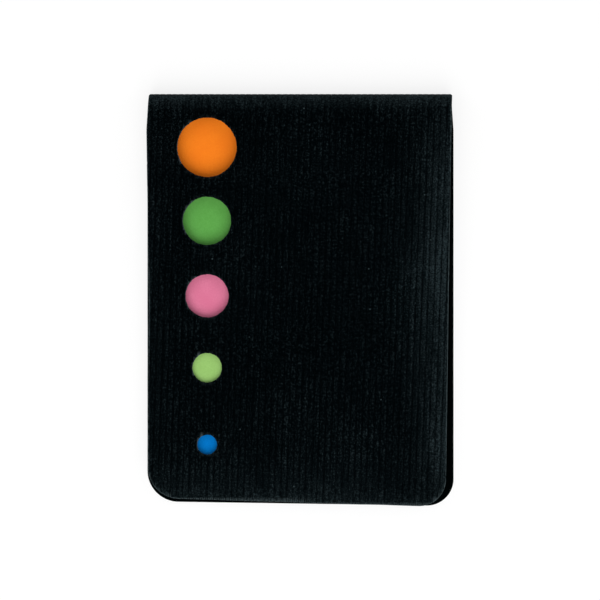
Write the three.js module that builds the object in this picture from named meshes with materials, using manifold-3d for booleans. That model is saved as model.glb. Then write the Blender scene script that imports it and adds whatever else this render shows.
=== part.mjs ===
// Page-marker pads in a folded card cover. A ribbed card folds over its top edge, and five round
// windows down the left of its front panel show the five pads of sticky markers that it holds.
// Millimetres. The booklet lies on its back: X runs across it, Y runs up to the fold, Z is up.
import * as THREE from 'three';
import { mergeVertices } from 'three/addons/utils/BufferGeometryUtils.js';
import Module from 'manifold-3d';

const wasm = await Module();
wasm.setup();

// Pads of sticky markers, one row each, on a white release card
const padWidth = 50;
const padDepth = 14.7;
const padGap = 0.3;
const backingThickness = 0.35;
const backingGap = 0.05;
const backingMargin = { side: 1, end: 0.4 };

// Each marker pad has a window over it, set off from the pad's middle towards the fold
const windowInset = 11.95;
const orange = { padHeight: 2.5, windowDiameter: 11.7, windowOffset: 0.2 };
const green = { padHeight: 2.4, windowDiameter: 9.5, windowOffset: 0.7 };
const pink = { padHeight: 2.3, windowDiameter: 8.5, windowOffset: 0.9 };
const lime = { padHeight: 2.75, windowDiameter: 5.8, windowOffset: 1.7 };
const blue = { padHeight: 2.3, windowDiameter: 3.9, windowOffset: 1.5 };
const markers = [
  { name: 'orange', color: '#f47f1f', ...orange },
  { name: 'green', color: '#64aa54', ...green },
  { name: 'pink', color: '#e17f9b', ...pink },
  { name: 'lime', color: '#98c470', ...lime },
  { name: 'blue', color: '#0070b8', ...blue },
];

// Cover card, which passes round the pads with room at the fold and little over the front ones
const cardThickness = 0.6;
const sideMargin = 5.4;
const endMargin = 3.5;
const foldHeadroom = 1.85;
const panelHeadroom = 0.3;
const cornerRadius = { left: 6.2, right: 5.3 };
const backEdgeSkew = 0.94;
const foldGap = 0.36;
const foldInset = 0.45;
const foldTaper = 7;
const hingeAngles = [Math.PI / 4, 3 * Math.PI / 4];

// Ribs pressed into the outside of the card: flat crests between narrow valleys
const ribPitch = 1.21;
const ribDepth = 0.12;
const ribValleyWidth = 0.36;
const ribLean = Math.tan(THREE.MathUtils.degToRad(2));

// Front panel: it slopes down from the fold, and its free edges curl down a little
const dropLength = 52;
const leftCurl = { drop: 0.2, width: 6 };
const rightCurl = { drop: 0.6, width: 12 };
const endCurl = { drop: 0.4, width: 10 };
const curlOnset = 12;
const frontInset = { leftWaist: 0.43, leftBottom: 0.2, rightTop: 0.6, rightBottom: 1.71 };
const frontEdgeSkew = 1.86;

const cardFinish = { color: '#0a0d10', roughness: 0.75 };
const backingFinish = { color: '#e9e8e3', roughness: 0.5 };
const paperRoughness = 0.85;

const padPitch = padDepth + padGap;
const padBottom = cardThickness + backingGap + backingThickness;
const padTop = padBottom + Math.max(...markers.map((marker) => marker.padHeight));
const padRows = markers.length * padPitch - padGap;
const coverWidth = padWidth + 2 * sideMargin;
const coverLength = padRows + 2 * endMargin;
const coverHeight = padTop + cardThickness + foldHeadroom;
const panelDrop = foldHeadroom - panelHeadroom;
const windowColumn = windowInset - coverWidth / 2;
const foldRadius = coverHeight / 2;
const foldCentreY = coverLength / 2 - foldRadius;
const freeEndY = -coverLength / 2;
const halfGapAngle = foldGap / 2 / foldRadius;
const clearOfCard = 4;
const foldStep = THREE.MathUtils.degToRad(15);
const cornerSegments = 8;
const windowSegments = 32;
// Where the sloped and the curled stretches have a station, as shares of their length
const slopeStations = [0.08, 0.18, 0.32, 0.5, 0.68, 0.84, 1];
const endCurlStations = [0, 0.4, 0.7, 1.1];
const sideCurlStations = [1, 0.6, 0.3, 0];

function solidFrom(geometry) {
  const bare = geometry.clone();
  bare.deleteAttribute('normal');
  bare.deleteAttribute('uv');
  const welded = mergeVertices(bare);
  return new wasm.Manifold(new wasm.Mesh({
    numProp: 3,
    vertProperties: new Float32Array(welded.attributes.position.array),
    triVerts: new Uint32Array(welded.index.array),
  }));
}

function geometryFrom(solid) {
  const result = solid.getMesh();
  const geometry = new THREE.BufferGeometry();
  geometry.setAttribute('position', new THREE.BufferAttribute(result.vertProperties, 3));
  geometry.setIndex(new THREE.BufferAttribute(result.triVerts, 1));
  geometry.computeVertexNormals();
  return geometry;
}

function paperMesh(name, geometry, { color, roughness }) {
  const mesh = new THREE.Mesh(
    geometry,
    new THREE.MeshStandardMaterial({ color, roughness, metalness: 0 }),
  );
  mesh.name = name;
  return mesh;
}

// A closed outline whose corners are rounded where they have a radius. Corners run anticlockwise.
function roundedOutline(corners) {
  const outline = new THREE.Shape();
  corners.forEach((corner, index) => {
    const here = new THREE.Vector2(corner.x, corner.y);
    const before = corners[(index + corners.length - 1) % corners.length];
    const after = corners[(index + 1) % corners.length];
    const inward = new THREE.Vector2(before.x, before.y).sub(here).normalize();
    const onward = new THREE.Vector2(after.x, after.y).sub(here).normalize();
    const radius = corner.radius ?? 0;
    const halfAngle = Math.acos(inward.dot(onward)) / 2;
    const reach = radius / Math.tan(halfAngle);
    const start = here.clone().addScaledVector(inward, reach);
    if (index === 0) outline.moveTo(start.x, start.y);
    else outline.lineTo(start.x, start.y);
    if (radius > 0) {
      const end = here.clone().addScaledVector(onward, reach);
      const middle = inward.clone().add(onward).normalize();
      const centre = here.clone().addScaledVector(middle, radius / Math.sin(halfAngle));
      const startAngle = Math.atan2(start.y - centre.y, start.x - centre.x);
      const endAngle = Math.atan2(end.y - centre.y, end.x - centre.x);
      outline.absarc(centre.x, centre.y, radius, startAngle, endAngle, false);
    }
  });
  outline.closePath();
  return outline;
}

// A cutter with that outline, tall enough to reach through the whole cover
function outlineCutter(corners) {
  const cutter = new THREE.ExtrudeGeometry(roundedOutline(corners), {
    depth: coverHeight + 2 * clearOfCard,
    bevelEnabled: false,
    curveSegments: cornerSegments,
  });
  cutter.translate(0, 0, -clearOfCard);
  return solidFrom(cutter);
}

// Stations along the card, from the back panel's free end, round the fold, to the front panel's.
// Each has a place on the outer surface, an outward direction and the path length from the crown.
function flatStation(y) {
  return { y, z: 0, outY: 0, outZ: -1, path: -foldRadius * Math.PI / 2 - (foldCentreY - y), curl: 0 };
}

function foldStation(angle) {
  const outY = Math.sin(angle);
  const outZ = -Math.cos(angle);
  const path = foldRadius * (angle - Math.PI / 2);
  return { y: foldCentreY + foldRadius * outY, z: foldRadius + foldRadius * outZ, outY, outZ, path, curl: 0 };
}

function panelStation(reach) {
  const endStart = foldCentreY - freeEndY - endCurl.width;
  const endShare = Math.max(0, reach - endStart) / endCurl.width;
  const drop = panelDrop * THREE.MathUtils.smoothstep(reach, 0, dropLength) + endCurl.drop * endShare ** 2;
  return {
    y: foldCentreY - reach,
    z: coverHeight - drop,
    outY: 0,
    outZ: 1,
    path: foldRadius * Math.PI / 2 + reach,
    curl: THREE.MathUtils.smoothstep(reach, 0, curlOnset),
  };
}

function foldStations(startAngle, endAngle) {
  const steps = Math.ceil((endAngle - startAngle) / foldStep - 0.01);
  const stations = [];
  for (let step = 0; step <= steps; step += 1) {
    stations.push(foldStation(startAngle + (endAngle - startAngle) * step / steps));
  }
  return stations;
}

function sideCurlAt(x) {
  const side = x < 0 ? leftCurl : rightCurl;
  const start = coverWidth / 2 - side.width;
  return side.drop * (Math.max(0, Math.abs(x) - start) / side.width) ** 2;
}

function cardPoint(station, x, depth) {
  return [
    x,
    station.y - station.outY * depth,
    station.z - station.outZ * depth - station.curl * sideCurlAt(x),
  ];
}

// The ribbed outside is a fine grid, and the plain inside a coarse one
function outerColumns() {
  const columns = [];
  const ribs = Math.ceil((coverWidth / 2 + clearOfCard) / ribPitch);
  for (let rib = -ribs; rib < ribs; rib += 1) {
    const valley = rib * ribPitch;
    columns.push({ x: valley, depth: ribDepth });
    columns.push({ x: valley + ribValleyWidth / 2, depth: 0 });
    columns.push({ x: valley + ribPitch - ribValleyWidth / 2, depth: 0 });
  }
  columns.push({ x: ribs * ribPitch, depth: ribDepth });
  return columns;
}

function innerColumns() {
  const edge = coverWidth / 2;
  const curled = ({ width }) => [...sideCurlStations.map((share) => edge - width * share), edge + clearOfCard];
  const left = curled(leftCurl).map((x) => -x).reverse();
  return [...left, ...curled(rightCurl)].map((x) => ({ x, depth: cardThickness }));
}

function cardSheet(stations) {
  const outer = outerColumns();
  const inner = innerColumns();
  const positions = [];
  const triangles = [];
  const addRow = (station, columns, lean) => columns.map(({ x, depth }) => {
    positions.push(...cardPoint(station, x - lean * station.path, depth));
    return positions.length / 3 - 1;
  });
  const addQuad = (a, b, c, d) => triangles.push(a, b, c, a, c, d);
  const rows = stations.map((station) => ({
    station,
    outer: addRow(station, outer, ribLean),
    inner: addRow(station, inner, 0),
  }));
  for (let index = 0; index < rows.length - 1; index += 1) {
    const row = rows[index];
    const next = rows[index + 1];
    for (let column = 0; column < outer.length - 1; column += 1) {
      addQuad(row.outer[column], next.outer[column], next.outer[column + 1], row.outer[column + 1]);
    }
    for (let column = 0; column < inner.length - 1; column += 1) {
      addQuad(row.inner[column], row.inner[column + 1], next.inner[column + 1], next.inner[column]);
    }
    addQuad(row.outer[0], row.inner[0], next.inner[0], next.outer[0]);
    addQuad(row.outer.at(-1), next.outer.at(-1), next.inner.at(-1), row.inner.at(-1));
  }
  addEndWall(triangles, rows[0], outer, inner, false);
  addEndWall(triangles, rows.at(-1), outer, inner, true);
  const sheet = new wasm.Mesh({
    numProp: 3,
    vertProperties: new Float32Array(positions),
    triVerts: new Uint32Array(triangles),
  });
  return new wasm.Manifold(sheet);
}

// The cut section of the card at one end of a sheet
function addEndWall(triangles, row, outer, inner, facesOnward) {
  const lean = ribLean * row.station.path;
  const ring = [...row.outer, ...row.inner.slice().reverse()];
  const section = [
    ...outer.map(({ x, depth }) => new THREE.Vector2(x - lean, depth)),
    ...inner.slice().reverse().map(({ x, depth }) => new THREE.Vector2(x, depth)),
  ];
  for (const [a, b, c] of THREE.ShapeUtils.triangulateShape(section, [])) {
    if (facesOnward) triangles.push(ring[a], ring[c], ring[b]);
    else triangles.push(ring[a], ring[b], ring[c]);
  }
}

function backCover() {
  const edge = coverWidth / 2;
  const stations = [
    flatStation(freeEndY - clearOfCard),
    ...foldStations(0, hingeAngles[0] - halfGapAngle),
  ];
  const outline = [
    { x: -edge, y: freeEndY + backEdgeSkew, radius: cornerRadius.left },
    { x: edge, y: freeEndY, radius: cornerRadius.right },
    { x: edge, y: coverLength / 2 - foldTaper },
    { x: edge - foldInset, y: coverLength / 2 },
    { x: foldInset - edge, y: coverLength / 2 },
    { x: -edge, y: coverLength / 2 - foldTaper },
  ];
  return geometryFrom(cardSheet(stations).intersect(outlineCutter(outline)));
}

function coverSpine() {
  const edge = coverWidth / 2 - foldInset;
  const stations = foldStations(hingeAngles[0] + halfGapAngle, hingeAngles[1] - halfGapAngle);
  const outline = [
    { x: -edge, y: 0 },
    { x: edge, y: 0 },
    { x: edge, y: coverLength / 2 + clearOfCard },
    { x: -edge, y: coverLength / 2 + clearOfCard },
  ];
  return geometryFrom(cardSheet(stations).intersect(outlineCutter(outline)));
}

function windowCutter(marker, row) {
  const cutter = new THREE.CylinderGeometry(
    marker.windowDiameter / 2,
    marker.windowDiameter / 2,
    coverHeight + 2 * clearOfCard,
    windowSegments,
  );
  cutter.rotateX(Math.PI / 2);
  cutter.translate(windowColumn, padCentreY(row) + marker.windowOffset, coverHeight / 2);
  return solidFrom(cutter);
}

function frontCover() {
  const edge = coverWidth / 2;
  const slopeReaches = slopeStations.map((share) => share * dropLength);
  const endStart = foldCentreY - freeEndY - endCurl.width;
  const curlReaches = endCurlStations.map((share) => endStart + share * endCurl.width);
  const stations = [
    ...foldStations(hingeAngles[1] + halfGapAngle, Math.PI),
    ...[...slopeReaches, ...curlReaches].map(panelStation),
  ];
  const outline = [
    { x: frontInset.leftBottom - edge, y: freeEndY + frontEdgeSkew, radius: cornerRadius.left },
    { x: edge - frontInset.rightBottom, y: freeEndY, radius: cornerRadius.right },
    { x: edge - frontInset.rightTop, y: coverLength / 2 },
    { x: foldInset - edge, y: coverLength / 2 },
    { x: -edge, y: coverLength / 2 - foldTaper },
    { x: frontInset.leftWaist - edge, y: 0 },
  ];
  let panel = cardSheet(stations).intersect(outlineCutter(outline));
  markers.forEach((marker, row) => {
    panel = panel.subtract(windowCutter(marker, row));
  });
  return geometryFrom(panel);
}

function padCentreY(row) {
  return ((markers.length - 1) / 2 - row) * padPitch;
}

function backingCard() {
  const width = padWidth + 2 * backingMargin.side;
  const length = padRows + 2 * backingMargin.end;
  const card = new THREE.BoxGeometry(width, length, backingThickness);
  card.translate(0, 0, padBottom - backingThickness / 2);
  return card;
}

function padBlock(marker, row) {
  const block = new THREE.BoxGeometry(padWidth, padDepth, marker.padHeight);
  block.translate(0, padCentreY(row), padBottom + marker.padHeight / 2);
  return block;
}

const booklet = new THREE.Group();
booklet.add(paperMesh('back_cover', backCover(), cardFinish));
booklet.add(paperMesh('cover_spine', coverSpine(), cardFinish));
booklet.add(paperMesh('front_cover', frontCover(), cardFinish));
booklet.add(paperMesh('backing_card', backingCard(), backingFinish));
markers.forEach((marker, row) => {
  const finish = { color: marker.color, roughness: paperRoughness };
  booklet.add(paperMesh(`pad_${marker.name}`, padBlock(marker, row), finish));
});

export default booklet;
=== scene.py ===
import math
import random

import bmesh
import bpy
import numpy as np
from mathutils import Matrix, Vector, kdtree


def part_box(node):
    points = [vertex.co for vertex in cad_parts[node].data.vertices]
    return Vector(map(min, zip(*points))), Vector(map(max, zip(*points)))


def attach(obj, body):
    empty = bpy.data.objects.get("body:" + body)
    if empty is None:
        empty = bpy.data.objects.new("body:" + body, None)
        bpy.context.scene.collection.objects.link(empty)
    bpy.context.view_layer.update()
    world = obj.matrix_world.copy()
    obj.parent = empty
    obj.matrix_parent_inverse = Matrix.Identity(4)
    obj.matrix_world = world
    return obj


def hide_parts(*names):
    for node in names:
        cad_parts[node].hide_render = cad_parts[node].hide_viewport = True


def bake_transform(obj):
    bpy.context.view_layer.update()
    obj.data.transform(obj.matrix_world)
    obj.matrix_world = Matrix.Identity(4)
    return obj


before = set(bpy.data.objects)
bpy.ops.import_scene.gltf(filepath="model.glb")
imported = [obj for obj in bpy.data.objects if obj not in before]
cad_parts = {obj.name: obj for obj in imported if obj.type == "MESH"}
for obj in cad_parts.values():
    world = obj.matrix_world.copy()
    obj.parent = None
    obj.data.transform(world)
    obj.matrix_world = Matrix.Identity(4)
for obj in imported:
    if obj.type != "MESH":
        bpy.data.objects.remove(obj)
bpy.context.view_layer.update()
mm = 0.001
print("frame loaded")


def toLinear(hexColour):
    channels = [int(hexColour[i:i + 2], 16) / 255 for i in (1, 3, 5)]
    return [c / 12.92 if c <= 0.04045 else ((c + 0.055) / 1.055) ** 2.4 for c in channels] + [1]


def addNode(tree, kind, inputs=None, **settings):  # inputs take a value or a socket to link from
    node = tree.nodes.new("ShaderNode" + kind)
    for name, value in settings.items():
        setattr(node, name, value)
    for name, value in (inputs or {}).items():
        if isinstance(value, bpy.types.NodeSocket):
            tree.links.new(value, node.inputs[name])
        else:
            node.inputs[name].default_value = value
    return node


def newMaterial(name):
    material = bpy.data.materials.new(name)
    material.use_nodes = True
    tree = material.node_tree
    tree.nodes.clear()
    return material, tree


def smooth(t):
    t = np.clip(t, 0, 1)
    return t * t * (3 - 2 * t)


# The camera looks straight down, with the fold at the top of the picture
view = dict(
    height=700,  # mm above the front panel: the photo's perspective is slight
    across=118.55,  # mm of the panel's level that fill the frame
    panelLevel=4.5,
    aim=(-0.1, 0.08),
)


def makeCamera():
    camera = bpy.data.cameras.new("camera")
    camera.sensor_width = 36
    camera.lens = camera.sensor_width * view["height"] / view["across"]
    camera.clip_start = 0.01
    camera.clip_end = 10
    holder = bpy.data.objects.new("camera", camera)
    holder.location = Vector((*view["aim"], view["panelLevel"] + view["height"])) * mm
    bpy.context.scene.collection.objects.link(holder)
    bpy.context.scene.camera = holder


makeCamera()
print("camera placed")


# The cover's card, all in millimetres. Its box comes from the frame.
backHigh, spineHigh, frontHigh = (
    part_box(name)[1] / mm for name in ("back_cover", "cover_spine", "front_cover")
)

card = dict(
    halfWidth=backHigh.x,
    thickness=0.6,
    foldTop=frontHigh.z,
    foldRadius=frontHigh.z / 2,
    foldY=spineHigh.y - frontHigh.z / 2,
    freeEnd=-spineHigh.y,
    cornerRadius=5.3,
    leftCornerRadius=6.2,  # the lower left corner is rounder than the right one
    arcSteps=24,
    backSkew=0.94,
    frontSkew=1.86,
    foldInset=0.45,
    foldTaper=7,
    crownCorner=0.3,
    panelDrop=1.55,
    dropLength=52,
    leftCurl=(0.2, 6),  # how far an edge curls down, and over what width
    rightCurl=(0.6, 12),
    endCurl=(0.4, 10),
    curlOnset=12,
    rightTopInset=0.6,
    rightBottomInset=1.71,
    leftWaistInset=0.43,
    leftBottomInset=0.2,
    overhang=4,  # the sheet is made this much larger, and then cut to its outline
    insideColumns=25,
    backSpacing=2,  # mm between the rows of points along a panel
    panelSpacing=1,
    foldSpacing=math.radians(4),
    creaseAngle=38,  # an edge sharper than this, in degrees, is shaded as a crease
    insideTolerance=0.02,
)

# The card isn't quite flat: it has a dent near its left edge, and long shallow waves
unevenness = dict(
    dent=0.16,
    dentMiddle=7,
    dentReach=5,
    dentEdge=(20, 10),  # how far left of the middle it starts, and over what width it grows
    waves=0.03,
    waveLengths=(7.3, 19, 11.7, 31),
    onset=10,  # mm from the fold
)

ribs = dict(
    pitch=1.21,
    depth=0.12,
    crownPower=2.6,  # a higher power gives flatter crests and narrower valleys
    lean=math.tan(math.radians(2)),
    depthOnFold=0.3,  # bending stretches the ribs nearly flat at the crown
    foldReach=3.5,
    samples=(0, 0.07, 0.17, 0.32, 0.5, 0.68, 0.83, 0.93),
)

cardGrainAndSheen = dict(  # sizes in mm
    grain=0.3,
    cloud=13,
    streakScale=(1.6, 0.12, 1),
    lint=4.5,
    # Painted rib shading, from one valley over a crest to the next: the valleys are painted dark as shade,
    # and a crest's edges paler than its middle as painted highlights, its right edge palest
    ribShading=((0, 0.25), (0.12, 0.35), (0.28, 0.9), (0.45, 0.6), (0.7, 1.3), (0.86, 0.7), (1, 0.25)),
    fibreTone=0.65,
    fineGrain=0.16,
    plainLevel=0.004,
    # Painted sheen: the card is painted paler towards its right, bottom and left edges and at its fold,
    # where the curled card catches the light
    rightSheen=(14, 14.5, 2.5, 0.3),  # (where it starts, over what width it grows, power, how strong it gets)
    bottomSheen=((8, 20, 1.5, 0.03), (27, 12, 1.5, 0.08), (36, 4, 2, 0.12)),
    leftSheen=(24, 6, 2, 0.05),
    foldSheen=(-0.6, 3.4, 1.4, 0.6),
    # Where the painted sheen spans the ribs evenly, at the bottom and the fold, the painted rib shading is
    # pulled to this tone
    evenTone=0.72,
    evenBottom=(31, 8, 1, 0.6),
    evenFold=(-1, 2.5, 1, 0.6),
    rightPatch=(8, 9, 0.8),  # (middle, half length, how much stronger it is there)
    rightAtFold=0.45,  # how strong the right edge's painted sheen is at the fold, and how far down it is full
    rightFullAt=22,
)

lip = dict(  # the rounded edge that the cutting die leaves, and how far the wear reaches in from it
    drop=0.13,
    inset=0.1,
    steps=4,
    wear=0.2,
    windowWear=0.13,
    backShare=0.6,  # the back panel's edges and the windows are worn less than the front's edges
    windowShare=0.15,
)

ragged = dict(  # a die cuts through fibres, so its line isn't perfectly clean
    back=0.012,
    front=0.02,
    window=0.055,
    waves=((5, 0.4), (17, 0.35), (41, 0.25)),  # (waves round the outline, share)
    snag=0.5,
    smoothShare=0.8,  # the share of an outline's points without a snag
    backSeed=3,
    frontSeed=5,
    windowSeed=20,
)

windows = dict(
    column=-18.45,
    places=(30.2, 15.7, 0.9, -13.3, -28.5),
    diameters=(11.7, 9.5, 8.5, 5.8, 3.9),
    names=("orange", "green", "pink", "lime", "blue"),
    tornSide=math.radians(165),  # the punch tore pale fibres on this side
    tornSpread=0.7,
    segments=180,
)


def panelReach(y):
    return card["foldY"] - y


def panelHeight(x, y):  # the crests' height on the front panel
    reach = panelReach(y)
    drop = card["panelDrop"] * smooth(reach / card["dropLength"])
    end = curl(reach, panelReach(card["freeEnd"]), *card["endCurl"])
    left = curl(-x, card["halfWidth"], *card["leftCurl"])
    right = curl(x, card["halfWidth"], *card["rightCurl"])
    sides = (left + right) * smooth(reach / card["curlOnset"])
    return card["foldTop"] - drop - end - sides - warp(x, y) * smooth(reach / unevenness["onset"])


def curl(place, edge, drop, width):
    return drop * (np.clip(place - edge + width, 0, None) / width) ** 2


def warp(x, y):
    start, width = unevenness["dentEdge"]
    down = (y - unevenness["dentMiddle"]) / unevenness["dentReach"]
    dent = unevenness["dent"] * np.exp(-down ** 2) * smooth((-x - start) / width)
    a, b, c, d = unevenness["waveLengths"]
    waves = unevenness["waves"] * (1 + np.sin(x / a + y / b) * np.cos(y / c - x / d))
    return dent + waves


def ribDepthAt(x, path):
    share = ((x + ribs["lean"] * path) / ribs["pitch"]) % 1
    stretched = 1 - (1 - ribs["depthOnFold"]) * np.exp(-(path / ribs["foldReach"]) ** 4)
    return ribs["depth"] * stretched * np.abs(2 * share - 1) ** ribs["crownPower"]


def foldPath(angle):
    return card["foldRadius"] * (angle - math.pi / 2)


def foldRow(angle, x, depth):
    out = card["foldRadius"] - depth
    return np.stack([
        x,
        card["foldY"] + out * math.sin(angle),
        card["foldRadius"] - out * math.cos(angle),
    ], axis=1)


def panelRow(y, x, depth):
    return np.stack([x, np.full_like(x, y), panelHeight(x, y) - depth], axis=1)


def backRow(y, x, depth):
    return np.stack([x, np.full_like(x, y), depth], axis=1)


def ribbedSheet(name, rows):  # rows are (path, function that places points across the card)
    reach = card["halfWidth"] + card["overhang"]
    ribCount = math.ceil(reach / ribs["pitch"])
    columns = np.array([
        (rib + share) * ribs["pitch"]
        for rib in range(-ribCount, ribCount) for share in ribs["samples"]
    ])
    inside = np.linspace(-reach, reach, card["insideColumns"])
    points = []
    for path, place in rows:
        x = columns - ribs["lean"] * path
        points.append(place(x, ribDepthAt(x, path)))
        points.append(place(inside, np.full_like(inside, card["thickness"])))
    outerCount, innerCount = len(columns), len(inside)
    stride = outerCount + innerCount
    faces = []
    for row in range(len(rows) - 1):
        here, there = row * stride, (row + 1) * stride
        for i in range(outerCount - 1):
            faces.append((here + i, there + i, there + i + 1, here + i + 1))
        for i in range(outerCount, stride - 1):
            faces.append((here + i, here + i + 1, there + i + 1, there + i))
        faces.append((here, here + outerCount, there + outerCount, there))
        edge = outerCount - 1
        faces.append((here + edge, there + edge, there + stride - 1, here + stride - 1))
    last = (len(rows) - 1) * stride
    ring = list(range(outerCount)) + list(range(stride - 1, outerCount - 1, -1))
    faces.append(tuple(ring))
    faces.append(tuple(last + i for i in reversed(ring)))
    mesh = bpy.data.meshes.new(name)
    mesh.from_pydata(np.concatenate(points).tolist(), [], faces)
    return newObject(name, mesh)


def newObject(name, mesh):
    mesh.validate()
    piece = bpy.data.objects.new(name, mesh)
    bpy.context.scene.collection.objects.link(piece)
    return piece


def roundedOutline(corners, spacing=0.4):  # corners run anticlockwise: (x, y, radius)
    points = []
    for index, (x, y, radius) in enumerate(corners):
        here = Vector((x, y))
        inward = (Vector(corners[index - 1][:2]) - here).normalized()
        onward = (Vector(corners[(index + 1) % len(corners)][:2]) - here).normalized()
        if radius == 0:
            points.append(here)
            continue
        half = math.acos(inward.dot(onward)) / 2
        centre = here + (inward + onward).normalized() * radius / math.sin(half)
        start = here + inward * radius / math.tan(half) - centre
        turn = math.pi - 2 * half
        for step in range(card["arcSteps"] + 1):
            angle = turn * step / card["arcSteps"]
            cosine, sine = math.cos(angle), math.sin(angle)
            points.append(centre + Vector((
                start.x * cosine - start.y * sine,
                start.x * sine + start.y * cosine,
            )))
    outline = []
    for index, point in enumerate(points):
        following = points[(index + 1) % len(points)]
        pieces = max(1, round((following - point).length / spacing))
        outline += [point.lerp(following, i / pieces) for i in range(pieces)]
    return np.array([tuple(p) for p in outline])


def raggedEdge(outline, size, seed):
    rng = np.random.default_rng(seed)
    count = len(outline)
    noise = np.zeros(count)
    for waves, share in ragged["waves"]:
        angles = np.arange(count) / count * 2 * math.pi * waves
        noise += share * np.sin(angles + rng.uniform(0, 2 * math.pi))
    noise += ragged["snag"] * rng.normal(size=count) * (rng.uniform(size=count) > ragged["smoothShare"])
    return outline + edgeNormals(outline) * (size * noise)[:, None]


def edgeNormals(outline):  # pointing out of an anticlockwise outline
    along = np.roll(outline, -1, axis=0) - np.roll(outline, 1, axis=0)
    along /= np.linalg.norm(along, axis=1)[:, None]
    return np.stack([along[:, 1], -along[:, 0]], axis=1)


def loftedCutter(name, rings):  # rings of equal length, from the lowest to the highest
    count = len(rings[0])
    faces = [tuple(reversed(range(count)))]
    for level in range(len(rings) - 1):
        for i in range(count):
            after = (i + 1) % count
            here, there = level * count, (level + 1) * count
            faces.append((here + i, here + after, there + after, there + i))
    faces.append(tuple((len(rings) - 1) * count + i for i in range(count)))
    mesh = bpy.data.meshes.new(name)
    mesh.from_pydata(np.concatenate(rings).tolist(), [], faces)
    return newObject(name, mesh)


def lipRings(outline, surface, direction, low, high):
    # surface gives the crest height. direction is +1 where the lip faces up and -1 where it faces down
    normals = edgeNormals(outline)

    def ring(inset, height):
        flat = outline - normals * inset
        return np.column_stack([flat, np.broadcast_to(height, len(outline))])

    crest = surface(outline[:, 0], outline[:, 1])
    rings = []
    for step in range(lip["steps"] + 1):
        angle = math.pi / 2 * step / lip["steps"]
        inset = lip["inset"] * (1 - math.cos(angle))
        rings.append(ring(inset, crest - direction * lip["drop"] * (1 - math.sin(angle))))
    straight = ring(0, low if direction > 0 else high)
    beyond = ring(lip["inset"], high if direction > 0 else low)
    rings = [straight] + rings + [beyond]
    return rings if direction > 0 else rings[::-1]


def windowRings(outline, low, high):  # the window's own lip opens out towards the top
    normals = edgeNormals(outline)
    crest = panelHeight(outline[:, 0], outline[:, 1])
    rings = [np.column_stack([outline, np.full(len(outline), low)])]
    for step in range(lip["steps"] + 1):
        angle = math.pi / 2 * step / lip["steps"]
        flat = outline + normals * lip["inset"] * (1 - math.cos(angle))
        rings.append(np.column_stack([flat, crest - lip["drop"] * (1 - math.sin(angle))]))
    flat = outline + normals * lip["inset"]
    rings.append(np.column_stack([flat, np.full(len(outline), high)]))
    return rings


def cut(piece, cutter, operation):
    modifier = piece.modifiers.new("cut", "BOOLEAN")
    modifier.object = cutter
    modifier.operation = operation
    modifier.solver = "EXACT"
    graph = bpy.context.evaluated_depsgraph_get()
    result = bpy.data.meshes.new_from_object(piece.evaluated_get(graph))
    piece.modifiers.clear()
    piece.data = result
    bpy.data.objects.remove(cutter)


def finishCard(piece, outlines, isBack):
    # Each point keeps its place on the flat card, in millimetres, and how near it is to a cut edge
    mesh = piece.data
    points = np.zeros(len(mesh.vertices) * 3)
    mesh.vertices.foreach_get("co", points)
    points = points.reshape(-1, 3)
    angle = np.arctan2(points[:, 1] - card["foldY"], card["foldRadius"] - points[:, 2])
    onFold = points[:, 1] > card["foldY"]
    flatPath = foldPath(math.pi) + panelReach(points[:, 1])
    if isBack:
        flatPath = -flatPath
    path = np.where(onFold, foldPath(angle), flatPath)
    place = np.column_stack([points[:, 0], path, points[:, 2]])
    mesh.attributes.new("cardPlace", "FLOAT_VECTOR", "POINT").data.foreach_set("vector", place.ravel())
    rim = np.zeros(len(points))
    for outline, share, reach in outlines:
        tree = kdtree.KDTree(len(outline))
        for index, (x, y) in enumerate(outline):
            tree.insert((x, y, 0), index)
        tree.balance()
        near = np.array([tree.find((x, y, 0))[2] for x, y, _ in points])
        rim = np.maximum(rim, share * smooth(1 - near / reach))
    mesh.attributes.new("rim", "FLOAT", "POINT").data.foreach_set("value", rim)
    # The painted sheen, and where it spans the ribs evenly
    sheen, evenedSheen = sheenByEdge(points)
    mesh.attributes.new("paintedSheen", "FLOAT", "POINT").data.foreach_set("value", sheen)
    mesh.attributes.new("evenedSheen", "FLOAT", "POINT").data.foreach_set("value", evenedSheen)
    fromAxis = np.hypot(points[:, 1] - card["foldY"], points[:, 2] - card["foldRadius"])
    innerFold = fromAxis < card["foldRadius"] - card["thickness"] + card["insideTolerance"]
    inner = np.where(onFold, innerFold, innerFlat(points, isBack))
    mesh.attributes.new("inside", "FLOAT", "POINT").data.foreach_set("value", inner.astype(float))
    mesh.transform(Matrix.Scale(mm, 4))
    shadeByAngle(mesh, card["creaseAngle"])


def sheenByEdge(points):  # painted sheen: the card is painted paler at its fold and along its free edges, where it curls and catches the light
    x, y = points[:, 0], points[:, 1]

    def grown(place, start, width, power, amount):
        return amount * np.clip((place - start) / width, 0, 1) ** power

    middle, reach, extra = cardGrainAndSheen["rightPatch"]
    least = cardGrainAndSheen["rightAtFold"]
    along = least + (1 - least) * smooth(panelReach(y) / cardGrainAndSheen["rightFullAt"])
    along = along + extra * np.exp(-((y - middle) / reach) ** 2)
    sides = along * grown(x, *cardGrainAndSheen["rightSheen"]) + grown(-x, *cardGrainAndSheen["leftSheen"])
    bottom = sum(grown(-y, *stretch) for stretch in cardGrainAndSheen["bottomSheen"])
    fold = grown(y - card["foldY"], *cardGrainAndSheen["foldSheen"])
    sheen = cardGrainAndSheen["plainLevel"] + np.maximum(np.maximum(sides, bottom), fold)
    # Where the card bends, its ribs are stretched, and the painted rib shading there is evened into one
    # painted sheen across them
    evenedSheen = grown(-y, *cardGrainAndSheen["evenBottom"]) + grown(y - card["foldY"], *cardGrainAndSheen["evenFold"])
    return sheen, evenedSheen


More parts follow.
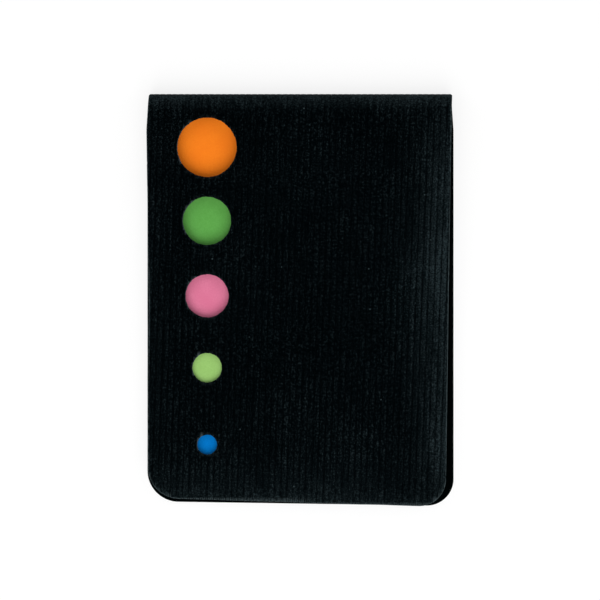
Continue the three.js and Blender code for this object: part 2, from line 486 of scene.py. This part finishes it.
def innerFlat(points, isBack):
    if isBack:  # its inside faces up
        return points[:, 2] > card["thickness"] - card["insideTolerance"]
    inside = panelHeight(points[:, 0], points[:, 1]) - card["thickness"]
    return points[:, 2] < inside + card["insideTolerance"]


def shadeByAngle(mesh, degrees):
    limit = math.radians(degrees)
    edit = bmesh.new()
    edit.from_mesh(mesh)
    for face in edit.faces:
        face.smooth = True
    for edge in edit.edges:
        edge.smooth = len(edge.link_faces) == 2 and edge.calc_face_angle() < limit
    edit.to_mesh(mesh)
    edit.free()


def steps(start, end, spacing):
    return np.linspace(start, end, max(1, round(abs(end - start) / spacing)) + 1)


# Both panels' outlines share their corners at the fold, which taper in and then pass over the crown
def foldCorners():
    fold = card["halfWidth"] - card["foldInset"]
    crown = -card["freeEnd"]
    beyond = crown + card["overhang"]
    corner = card["crownCorner"]
    return [
        (fold, crown - corner, 0),
        (fold - corner, crown, 0),
        (fold - corner, beyond, 0),
        (corner - fold, beyond, 0),
        (corner - fold, crown, 0),
        (-fold, crown - corner, 0),
        (-card["halfWidth"], crown - card["foldTaper"], 0),
    ]


def backPiece():
    rows = []
    for y in steps(card["freeEnd"] - card["overhang"], card["foldY"], card["backSpacing"])[:-1]:
        path = -foldPath(math.pi) - panelReach(y)
        rows.append((path, lambda x, depth, y=y: backRow(y, x, depth)))
    for angle in steps(0, math.pi / 2, card["foldSpacing"]):
        rows.append((foldPath(angle), lambda x, depth, angle=angle: foldRow(angle, x, depth)))
    piece = ribbedSheet("backCard", rows)
    half = card["halfWidth"]
    outline = roundedOutline([
        (-half, card["freeEnd"] + card["backSkew"], card["leftCornerRadius"]),
        (half, card["freeEnd"], card["cornerRadius"]),
        (half, -card["freeEnd"] - card["foldTaper"], 0),
        *foldCorners(),
    ])
    outline = keepInside(raggedEdge(outline, ragged["back"], ragged["backSeed"]), half)
    rings = lipRings(outline, lambda x, y: 0 * x, -1, -card["overhang"], card["foldRadius"] + 1)
    cut(piece, loftedCutter("backCutter", rings), "INTERSECT")
    finishCard(piece, [(outline, lip["backShare"], lip["wear"])], isBack=True)
    return piece


def keepInside(outline, half):
    outline[:, 0] = np.clip(outline[:, 0], -half, half)
    return outline


def frontPiece():
    rows = []
    for angle in steps(math.pi / 2, math.pi, card["foldSpacing"])[:-1]:
        rows.append((foldPath(angle), lambda x, depth, angle=angle: foldRow(angle, x, depth)))
    for y in steps(card["foldY"], card["freeEnd"] - card["panelSpacing"], card["panelSpacing"]):
        path = foldPath(math.pi) + panelReach(y)
        rows.append((path, lambda x, depth, y=y: panelRow(y, x, depth)))
    piece = ribbedSheet("frontCard", rows)
    half = card["halfWidth"]
    outline = roundedOutline([
        (card["leftBottomInset"] - half, card["freeEnd"] + card["frontSkew"], card["leftCornerRadius"]),
        (half - card["rightBottomInset"], card["freeEnd"], card["cornerRadius"]),
        (half - card["rightTopInset"], card["foldY"], 0),
        *foldCorners(),
        (card["leftWaistInset"] - half, 0, 0),
    ])
    outline = keepInside(raggedEdge(outline, ragged["front"], ragged["frontSeed"]), half)
    rings = lipRings(outline, panelHeight, 1, -card["overhang"], card["foldTop"] + card["overhang"])
    cut(piece, loftedCutter("frontCutter", rings), "INTERSECT")
    edges = [(outline, 1, lip["wear"])]
    for index, (y, diameter) in enumerate(zip(windows["places"], windows["diameters"])):
        turn = np.arange(windows["segments"]) / windows["segments"] * 2 * math.pi
        circle = np.column_stack([np.cos(turn), np.sin(turn)]) * diameter / 2
        circle = raggedEdge(circle, ragged["window"], ragged["windowSeed"] + index)
        circle = circle + (windows["column"], y)
        rings = windowRings(circle, 0, card["foldTop"] + card["overhang"])
        cut(piece, loftedCutter("windowCutter", rings), "DIFFERENCE")
        edges.append((circle, lip["windowShare"], lip["windowWear"]))
        torn = circle[np.cos(turn - windows["tornSide"]) > windows["tornSpread"]]
        edges.append((torn, 1, lip["windowWear"]))
    finishCard(piece, edges, isBack=False)
    return piece


# Black cover card: dyed pulp, pressed between ribbed rollers. It is matt and faintly blue-green. Its ribs
# are painted with shade in their valleys and highlights along their crests' edges, the card is painted paler
# towards its fold and free edges as painted sheen, and its pulp has a coarse grain with a little lint on it.
def dyedCard(name):
    material, tree = newMaterial(name)
    place = addNode(tree, "Attribute", attribute_name="cardPlace").outputs["Vector"]
    rim = addNode(tree, "Attribute", attribute_name="rim").outputs["Fac"]
    paintedSheen = addNode(tree, "Attribute", attribute_name="paintedSheen").outputs["Fac"]
    evenedSheen = addNode(tree, "Attribute", attribute_name="evenedSheen").outputs["Fac"]
    inside = addNode(tree, "Attribute", attribute_name="inside").outputs["Fac"]

    across = addNode(tree, "VectorMath", {
        0: place, 1: (1 / ribs["pitch"], ribs["lean"] / ribs["pitch"], 0),
    }, operation="DOT_PRODUCT")
    share = addNode(tree, "Math", {0: across.outputs["Value"]}, operation="FRACT")
    # Painted rib shading across each rib: dark valleys, paler crest edges
    crest = addNode(tree, "ValToRGB", {"Fac": share.outputs["Value"]})
    setRamp(crest, cardGrainAndSheen["ribShading"])
    evenly = addNode(tree, "Mix", {0: evenedSheen, 2: crest.outputs["Color"], 3: cardGrainAndSheen["evenTone"]})

    grain = addNode(tree, "TexNoise", {
        "Vector": place, "Scale": 1 / cardGrainAndSheen["grain"], "Detail": 6, "Roughness": 0.7,
    })
    speckled = addNode(tree, "MapRange", {
        "Value": grain.outputs["Fac"], "From Min": 0.42, "From Max": 0.62, "To Min": 0.2, "To Max": 2.4,
    })
    cloud = addNode(tree, "TexNoise", {"Vector": place, "Scale": 1 / cardGrainAndSheen["cloud"], "Detail": 4})
    patchy = addNode(tree, "MapRange", {
        "Value": cloud.outputs["Fac"], "From Min": 0.35, "From Max": 0.65, "To Min": 0.7, "To Max": 1.3,
    })
    streaky = addNode(tree, "Mapping", {"Vector": place, "Scale": cardGrainAndSheen["streakScale"]})
    streak = addNode(tree, "TexNoise", {"Vector": streaky.outputs["Vector"], "Scale": 1, "Detail": 3})
    streaked = addNode(tree, "MapRange", {
        "Value": streak.outputs["Fac"], "From Min": 0.4, "From Max": 0.65, "To Min": 0.7, "To Max": 1.5,
    })
    fibres = addNode(tree, "MapRange", {
        "Value": grain.outputs["Fac"], "From Min": 0.52, "From Max": 0.68, "To Max": cardGrainAndSheen["fibreTone"],
    })
    # The painted sheen, speckled by the grain, plus the fibres' own tone
    sheenAndFibres = addNode(tree, "Math", {
        0: paintedSheen, 1: speckled.outputs["Result"], 2: fibres.outputs["Result"],
    }, operation="MULTIPLY_ADD")
    tones = multiply(tree, evenly.outputs[0], patchy.outputs["Result"], streaked.outputs["Result"],
                     sheenAndFibres.outputs["Value"])
    # The dyed black base, raised towards a paler tone by the painted rib shading and painted sheen, as well
    # as by cloud, streaks and fibres
    dyed = addNode(tree, "Mix", {0: tones, 6: toLinear("#000102"), 7: toLinear("#252f32")}, data_type="RGBA")

    lint = addNode(tree, "TexVoronoi", {"Vector": place, "Scale": 1 / cardGrainAndSheen["lint"], "Randomness": 1})
    lintMask = addNode(tree, "MapRange", {
        "Value": lint.outputs["Distance"], "From Min": 0.036, "From Max": 0.016,
    })
    linty = addNode(tree, "Mix", {
        0: lintMask.outputs["Result"], 6: dyed.outputs[2], 7: toLinear("#3d494c"),
    }, data_type="RGBA")
    frayed = addNode(tree, "MapRange", {
        "Value": grain.outputs["Fac"], "From Min": 0.4, "From Max": 0.6, "To Min": 0.5, "To Max": 1,
    })
    worn = multiply(tree, rim, frayed.outputs["Result"])
    colour = addNode(tree, "Mix", {0: worn, 6: linty.outputs[2], 7: toLinear("#4c585b")}, data_type="RGBA")
    # The card's inner faces are painted near black, as painted shade between the panels
    shadedInside = addNode(tree, "Mix", {0: inside, 6: colour.outputs[2], 7: toLinear("#000101")}, data_type="RGBA")

    roughness = addNode(tree, "MapRange", {
        "Value": grain.outputs["Fac"], "To Min": 0.5, "To Max": 0.72,
    })
    fine = addNode(tree, "TexNoise", {"Vector": place, "Scale": 1 / cardGrainAndSheen["fineGrain"], "Detail": 4})
    bump = addNode(tree, "Bump", {
        "Height": fine.outputs["Fac"], "Strength": 0.5, "Distance": 0.03 * mm,
    })
    shader = addNode(tree, "BsdfPrincipled", {
        "Base Color": shadedInside.outputs[2],
        "Roughness": roughness.outputs["Result"],
        "IOR": 1.5,
        "Specular IOR Level": 0.009,
        "Specular Tint": toLinear("#8feeff"),
        "Normal": bump.outputs["Normal"],
    })
    addNode(tree, "OutputMaterial", {"Surface": shader.outputs["BSDF"]})
    return material


def setRamp(node, stops):  # stops are (place from 0 to 1, grey level)
    elements = node.color_ramp.elements
    while len(elements) < len(stops):
        elements.new(0.5)
    for element, (place, level) in zip(elements, stops):
        element.position = place
        element.color = (level, level, level, 1)


def multiply(tree, *values):
    product = values[0]
    for value in values[1:]:
        product = addNode(tree, "Math", {0: product, 1: value}, operation="MULTIPLY").outputs["Value"]
    return product


coverMaterial = dyedCard("black ribbed cover card, dyed and pressed")


def makeCover():
    back = backPiece()
    front = frontPiece()
    for piece in (back, front):
        piece.data.materials.clear()
        piece.data.materials.append(coverMaterial)
    middle = card["foldRadius"]

    def onFold(degrees):
        angle = math.radians(degrees)
        out, up = middle * math.sin(angle), middle - middle * math.cos(angle)
        return (0, (card["foldY"] + out) * mm, up * mm)

    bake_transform(back)
    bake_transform(front)
    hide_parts("back_cover", "cover_spine")
    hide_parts("front_cover")
    print("cover", len(back.data.polygons), len(front.data.polygons), "faces")


makeCover()

# Pads of markers: coloured sheets stacked a little unevenly, held by adhesive at their left end
stack = dict(
    sheets=25,
    slip=0.06,  # mm that a sheet may lie off the stack's edge
    alongSteps=20,
    acrossSteps=4,
    gap=0.006,
    firstSeed=40,
)


def sheetStack(name, low, high, seed):
    rng = random.Random(seed)
    pitch = (high.z - low.z) / stack["sheets"]
    vertices = []
    faces = []
    for layer in range(stack["sheets"]):
        slipX, slipY = (rng.uniform(-stack["slip"], 0) for _ in range(2))
        skew = rng.uniform(-stack["slip"], 0)
        bottom = low.z + layer * pitch
        first = len(vertices)
        for side in (0, 1):
            for i in range(stack["alongSteps"] + 1):
                for j in range(stack["acrossSteps"] + 1):
                    along, across = i / stack["alongSteps"], j / stack["acrossSteps"]
                    x = low.x - slipX + (high.x - low.x + 2 * slipX) * along
                    y = low.y - slipY + (high.y - low.y + 2 * slipY + skew * along) * across
                    vertices.append((x, y, bottom + side * (pitch - stack["gap"])))
        faces += gridBoxFaces(first, stack["alongSteps"], stack["acrossSteps"])
    mesh = bpy.data.meshes.new(name)
    mesh.from_pydata(vertices, [], faces)
    mesh.transform(Matrix.Scale(mm, 4))
    return newObject(name, mesh)


def gridBoxFaces(first, longSteps, shortSteps):
    row = shortSteps + 1
    top = first + (longSteps + 1) * row
    faces = []
    for i in range(longSteps):
        for j in range(shortSteps):
            a = i * row + j
            faces.append((first + a, first + a + 1, first + a + row + 1, first + a + row))
            faces.append((top + a, top + a + row, top + a + row + 1, top + a + 1))
        end = i * row + shortSteps
        faces.append((first + i * row, first + (i + 1) * row, top + (i + 1) * row, top + i * row))
        faces.append((first + end + row, first + end, top + end, top + end + row))
    last = longSteps * row
    for j in range(shortSteps):
        faces.append((first + j + 1, first + j, top + j, top + j + 1))
        faces.append((first + last + j, first + last + j + 1, top + last + j + 1, top + last + j))
    return faces


# Marker paper: dyed in the pulp and calendered smooth, so the colour is even and soft, with faint
# fibres and no shine
def dyedPaper(name, tint, shade):
    material, tree = newMaterial(name)
    place = addNode(tree, "TexCoord").outputs["Object"]
    fibre = addNode(tree, "TexNoise", {"Vector": place, "Scale": 1 / (0.3 * mm), "Detail": 6})
    cloud = addNode(tree, "TexNoise", {"Vector": place, "Scale": 1 / (4 * mm), "Detail": 2})
    amount = addNode(tree, "Math", {0: fibre.outputs["Fac"], 1: cloud.outputs["Fac"]}, operation="MULTIPLY")
    share = addNode(tree, "MapRange", {"Value": amount.outputs["Value"], "From Min": 0.15, "From Max": 0.4})
    colour = addNode(tree, "Mix", {
        0: share.outputs["Result"], 6: toLinear(shade), 7: toLinear(tint),
    }, data_type="RGBA")
    bump = addNode(tree, "Bump", {"Height": fibre.outputs["Fac"], "Strength": 0.25, "Distance": 0.02 * mm})
    shader = addNode(tree, "BsdfPrincipled", {
        "Base Color": colour.outputs[2],
        "Roughness": 0.85,
        "IOR": 1.5,
        "Specular IOR Level": 0.05,
        "Normal": bump.outputs["Normal"],
    })
    addNode(tree, "OutputMaterial", {"Surface": shader.outputs["BSDF"]})
    return material


padColours = dict(
    orange=("#ff8720", "#fa7f1d"),
    green=("#64ad52", "#5ca34a"),
    pink=("#e581a1", "#dd7697"),
    lime=("#9dcb74", "#94c16b"),
    blue=("#007fd7", "#0076c8"),
)


def makePads():
    for index, name in enumerate(windows["names"]):
        low, high = (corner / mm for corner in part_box("pad_" + name))
        pad = sheetStack(name + "Sheets", low, high, stack["firstSeed"] + index)
        pad.data.materials.append(dyedPaper(name + " marker paper, pulp dyed", *padColours[name]))
        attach(pad, "root")
        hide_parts("pad_" + name)
    print("pads stacked")


makePads()


# Release card: bleached board with a silicone coat, so it is white, even and a little glossy
def releaseCard():
    material, tree = newMaterial("white release card, silicone coated")
    place = addNode(tree, "TexCoord").outputs["Object"]
    mottle = addNode(tree, "TexNoise", {"Vector": place, "Scale": 1 / (1.5 * mm), "Detail": 5})
    colour = addNode(tree, "Mix", {
        0: mottle.outputs["Fac"], 6: toLinear("#e6e4dc"), 7: toLinear("#f2f1ec"),
    }, data_type="RGBA")
    bump = addNode(tree, "Bump", {"Height": mottle.outputs["Fac"], "Strength": 0.15, "Distance": 0.02 * mm})
    shader = addNode(tree, "BsdfPrincipled", {
        "Base Color": colour.outputs[2],
        "Roughness": 0.42,
        "IOR": 1.43,
        "Normal": bump.outputs["Normal"],
    })
    addNode(tree, "OutputMaterial", {"Surface": shader.outputs["BSDF"]})
    return material


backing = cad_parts["backing_card"]
backing.data.materials.clear()
backing.data.materials.append(releaseCard())
print("release card finished")

# Studio: a white floor, and soft lamps low around the booklet with none straight above it
studio = dict(
    floorSize=3000,
    lamps=(  # (name, direction in degrees from +X, height in degrees, size mm, watts)
        ("bottomLamp", -92, 55, 800, 3.9),
        ("leftLamp", 170, 45, 400, 0.6),
        ("rightLamp", 5, 35, 400, 0.5),
        ("topLamp", 90, 30, 500, 0.5),
    ),
    distance=700,
    worldLevel=0.37,
    floorGlow=1.04,
    glowShare=0.75,  # the rest is plain paper, which keeps the booklet's shadow
)


def makeFloor():
    material, tree = newMaterial("white paper sweep")
    paper = addNode(tree, "BsdfDiffuse", {"Color": toLinear("#f6f6f6")})
    glow = addNode(tree, "Emission", {"Color": (1, 1, 1, 1), "Strength": studio["floorGlow"]})
    rays = addNode(tree, "LightPath")
    seen = addNode(tree, "Math", {
        0: rays.outputs["Is Camera Ray"], 1: rays.outputs["Is Glossy Ray"],
    }, operation="MAXIMUM")
    seenThrough = addNode(tree, "Math", {
        0: seen.outputs["Value"], 1: rays.outputs["Is Transmission Ray"],
    }, operation="MAXIMUM")
    share = multiply(tree, seenThrough.outputs["Value"], studio["glowShare"])
    mixed = addNode(tree, "MixShader", {
        0: share, 1: paper.outputs["BSDF"], 2: glow.outputs["Emission"],
    })
    addNode(tree, "OutputMaterial", {"Surface": mixed.outputs["Shader"]})
    half = studio["floorSize"] / 2 * mm
    mesh = bpy.data.meshes.new("floor")
    corners = [(-half, -half, 0), (half, -half, 0), (half, half, 0), (-half, half, 0)]
    mesh.from_pydata(corners, [], [(0, 1, 2, 3)])
    floor = newObject("floor", mesh)
    floor.data.materials.append(material)


def makeLamps():
    for name, turn, height, size, watts in studio["lamps"]:
        lamp = bpy.data.lights.new(name, "AREA")
        lamp.shape = "DISK"
        lamp.size = size * mm
        lamp.energy = watts
        holder = bpy.data.objects.new(name, lamp)
        turn, height = math.radians(turn), math.radians(height)
        level = math.cos(height)
        away = Vector((math.cos(turn) * level, math.sin(turn) * level, math.sin(height)))
        holder.location = away * studio["distance"] * mm
        holder.rotation_euler = away.to_track_quat("Z", "Y").to_euler()
        bpy.context.scene.collection.objects.link(holder)


def makeWorld():
    world = bpy.data.worlds.new("studio")
    world.use_nodes = True
    tree = world.node_tree
    tree.nodes.clear()
    rays = addNode(tree, "LightPath")
    level = addNode(tree, "MapRange", {
        "Value": rays.outputs["Is Camera Ray"], "To Min": studio["worldLevel"], "To Max": 1,
    })
    sky = addNode(tree, "Background", {"Color": (1, 1, 1, 1), "Strength": level.outputs["Result"]})
    addNode(tree, "OutputWorld", {"Surface": sky.outputs["Background"]})
    bpy.context.scene.world = world


makeFloor()
makeLamps()
makeWorld()
bpy.context.scene.view_settings.view_transform = "Standard"
print("studio lit")
